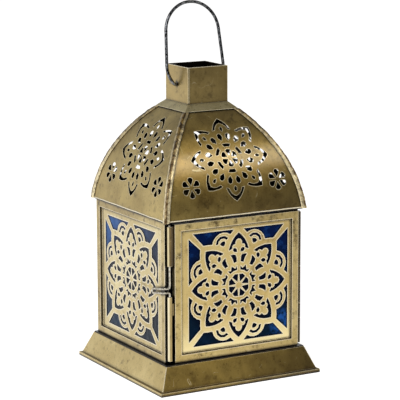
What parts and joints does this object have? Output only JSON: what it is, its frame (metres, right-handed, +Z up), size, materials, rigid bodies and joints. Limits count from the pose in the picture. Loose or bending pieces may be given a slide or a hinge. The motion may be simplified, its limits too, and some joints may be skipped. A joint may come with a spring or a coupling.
{
  "type": "candle lantern",
  "caption": "Square brass candle lantern with pierced screens over blue glass, a domed pierced roof, a hinged latched door and a wire bail.",
  "frame": {"origin": "middle of the underside of the base, on the surface that the lantern stands on", "axes": "+Z up; the hinged door faces -Y; the hinge is on the +X side and the latch on the -X side"},
  "size_m": [0.114, 0.114, 0.2332],
  "materials": {
    "base_brass": "darkly aged brass sheet with fine scratches",
    "frame_brass": "aged brass, brighter on the folded edges",
    "screen_brass": "aged brass sheet, pierced",
    "cobalt_glass": "deep blue rippled glass",
    "roof_brass": "aged brass sheet, curved, with brown patina",
    "hip_solder": "silvery wiped solder over brass",
    "tube_brass": "aged brass tube",
    "bright_wire": "bright drawn wire",
    "bail_wire": "darkened steel wire, mottled"
  },
  "bodies": {
    "lantern": {"base_front": "base_brass", "base_back": "base_brass", "base_left": "base_brass", "base_right": "base_brass", "floor_plate": "base_brass", "candle_cup": "base_brass", "frame_left": "frame_brass", "frame_right": "frame_brass", "frame_back": "frame_brass", "screen_left": "screen_brass", "screen_right": "screen_brass", "screen_back": "screen_brass", "glass_left": "cobalt_glass", "glass_right": "cobalt_glass", "glass_back": "cobalt_glass", "eave_frame": "frame_brass", "roof_front": "roof_brass", "roof_back": "roof_brass", "roof_left": "roof_brass", "roof_right": "roof_brass", "hip_front_left": "hip_solder", "hip_front_right": "hip_solder", "hip_back_left": "hip_solder", "hip_back_right": "hip_solder", "collar_skirt": "roof_brass", "collar": "roof_brass", "body_knuckle_low": "tube_brass", "body_knuckle_high": "tube_brass", "hinge_pin": "bright_wire"},
    "door": {"door_frame": "frame_brass", "door_screen": "screen_brass", "door_glass": "cobalt_glass", "door_knuckle_low": "tube_brass", "door_knuckle_high": "tube_brass", "latch_tube_low": "tube_brass", "latch_tube_high": "tube_brass"},
    "latch": {"latch_hook": "bright_wire"},
    "bail": {"bail_handle": "bail_wire"}
  },
  "joints": [
    {"name": "door_hinge", "type": "hinge", "parent": "lantern", "child": "door", "pos_m": [0.04735, -0.0461, 0.061], "axis": [0, 0, 1], "range_deg": [0, 115]},
    {"name": "latch_swing", "type": "hinge", "parent": "door", "child": "latch", "pos_m": [-0.045, -0.0461, 0.0631], "axis": [0, 0, 1], "range_deg": [0, 120]},
    {"name": "bail_swing", "type": "hinge", "parent": "lantern", "child": "bail", "pos_m": [0, 0, 0.1818], "axis": [1, 0, 0], "range_deg": [-109, 127]}
  ]
}
